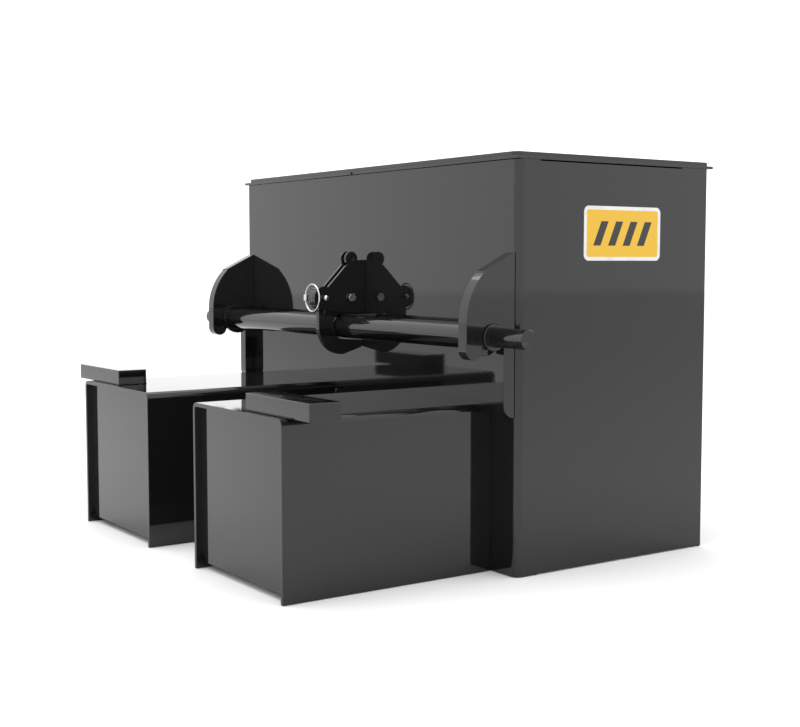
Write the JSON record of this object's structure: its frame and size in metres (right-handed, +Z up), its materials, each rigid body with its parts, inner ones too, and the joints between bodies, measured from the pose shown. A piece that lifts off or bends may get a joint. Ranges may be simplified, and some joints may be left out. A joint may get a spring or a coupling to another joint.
{
  "type": "tractor hitch ballast box",
  "caption": "Welded steel ballast box with two forward weight pods, a turning hitch bar held by ears and a keeper hook, and a hinged storage lid.",
  "frame": {"origin": "on the floor, below the middle of the whole object's box", "axes": "+Z up, -Y forward towards the tractor, +X to the right seen from the tractor; the left and right halves match about X = 0 apart from the rim's notch, the linch pin, the pivot bolt and the label"},
  "size_m": [0.961, 0.768, 0.615],
  "materials": {
    "paint_black": "gloss black enamel over welded steel plate",
    "paint_inner": "thin satin black coat",
    "concrete": "cast concrete, trowelled",
    "zinc": "bright zinc plated steel",
    "seal_rubber": "closed cell rubber strip",
    "label_film": "amber reflective film"
  },
  "bodies": {
    "box": {"front_panel": "paint_black", "back_panel": "paint_black", "side_panel_left": "paint_black", "side_panel_right": "paint_black", "floor_plate": "paint_black", "rib_left": "paint_inner", "rib_right": "paint_inner", "storage_floor": "paint_inner", "ballast_left": "concrete", "ballast_centre": "concrete", "ballast_right": "concrete", "rim_flange": "paint_black", "lid_seal": "seal_rubber", "hinge_blocks": "paint_black", "hinge_pins": "zinc", "pod_shell_left": "paint_black", "pod_shell_right": "paint_black", "pod_end_left": "paint_black", "pod_end_right": "paint_black", "pod_base_left": "paint_black", "pod_base_right": "paint_black", "pod_ballast_left": "concrete", "pod_ballast_right": "concrete", "stop_block_left": "paint_black", "stop_block_right": "paint_black", "hitch_ear_left": "paint_black", "hitch_ear_right": "paint_black", "bush_left": "paint_black", "bush_right": "paint_black", "bracket_plate_left": "paint_black", "bracket_plate_right": "paint_black", "keeper_hook": "paint_black", "pivot_bolt": "zinc", "pivot_nut": "zinc", "side_label": "label_film"},
    "lid": {"lid": "paint_black", "lid_stiffener": "paint_inner", "hinge_leaves": "paint_black"},
    "cross_bar": {"cross_bar": "paint_black"},
    "linch_pin": {"linch_pin": "zinc"},
    "linch_ring": {"linch_ring": "zinc"}
  },
  "joints": [
    {"name": "lid_hinge", "type": "hinge", "parent": "box", "child": "lid", "pos_m": [0, 0.379, 0.6095], "axis": [-1, 0, 0], "range_deg": [0, 105]},
    {"name": "cross_bar_turn", "type": "hinge", "parent": "box", "child": "cross_bar", "pos_m": [0, -0.069, 0.351], "axis": [1, 0, 0], "continuous": true},
    {"name": "linch_pin_pull", "type": "slide", "parent": "box", "child": "linch_pin", "axis": [-1, 0, 0], "range_m": [0, 0.036]},
    {"name": "linch_ring_swing", "type": "hinge", "parent": "linch_pin", "child": "linch_ring", "pos_m": [-0.02586, -0.124, 0.3985], "axis": [0, 0, -1], "range_deg": [0, 112]}
  ],
  "couplings": [
    {"joint": "linch_ring_swing", "follows": "linch_pin_pull", "rad_per_m": 53.33}
  ]
}
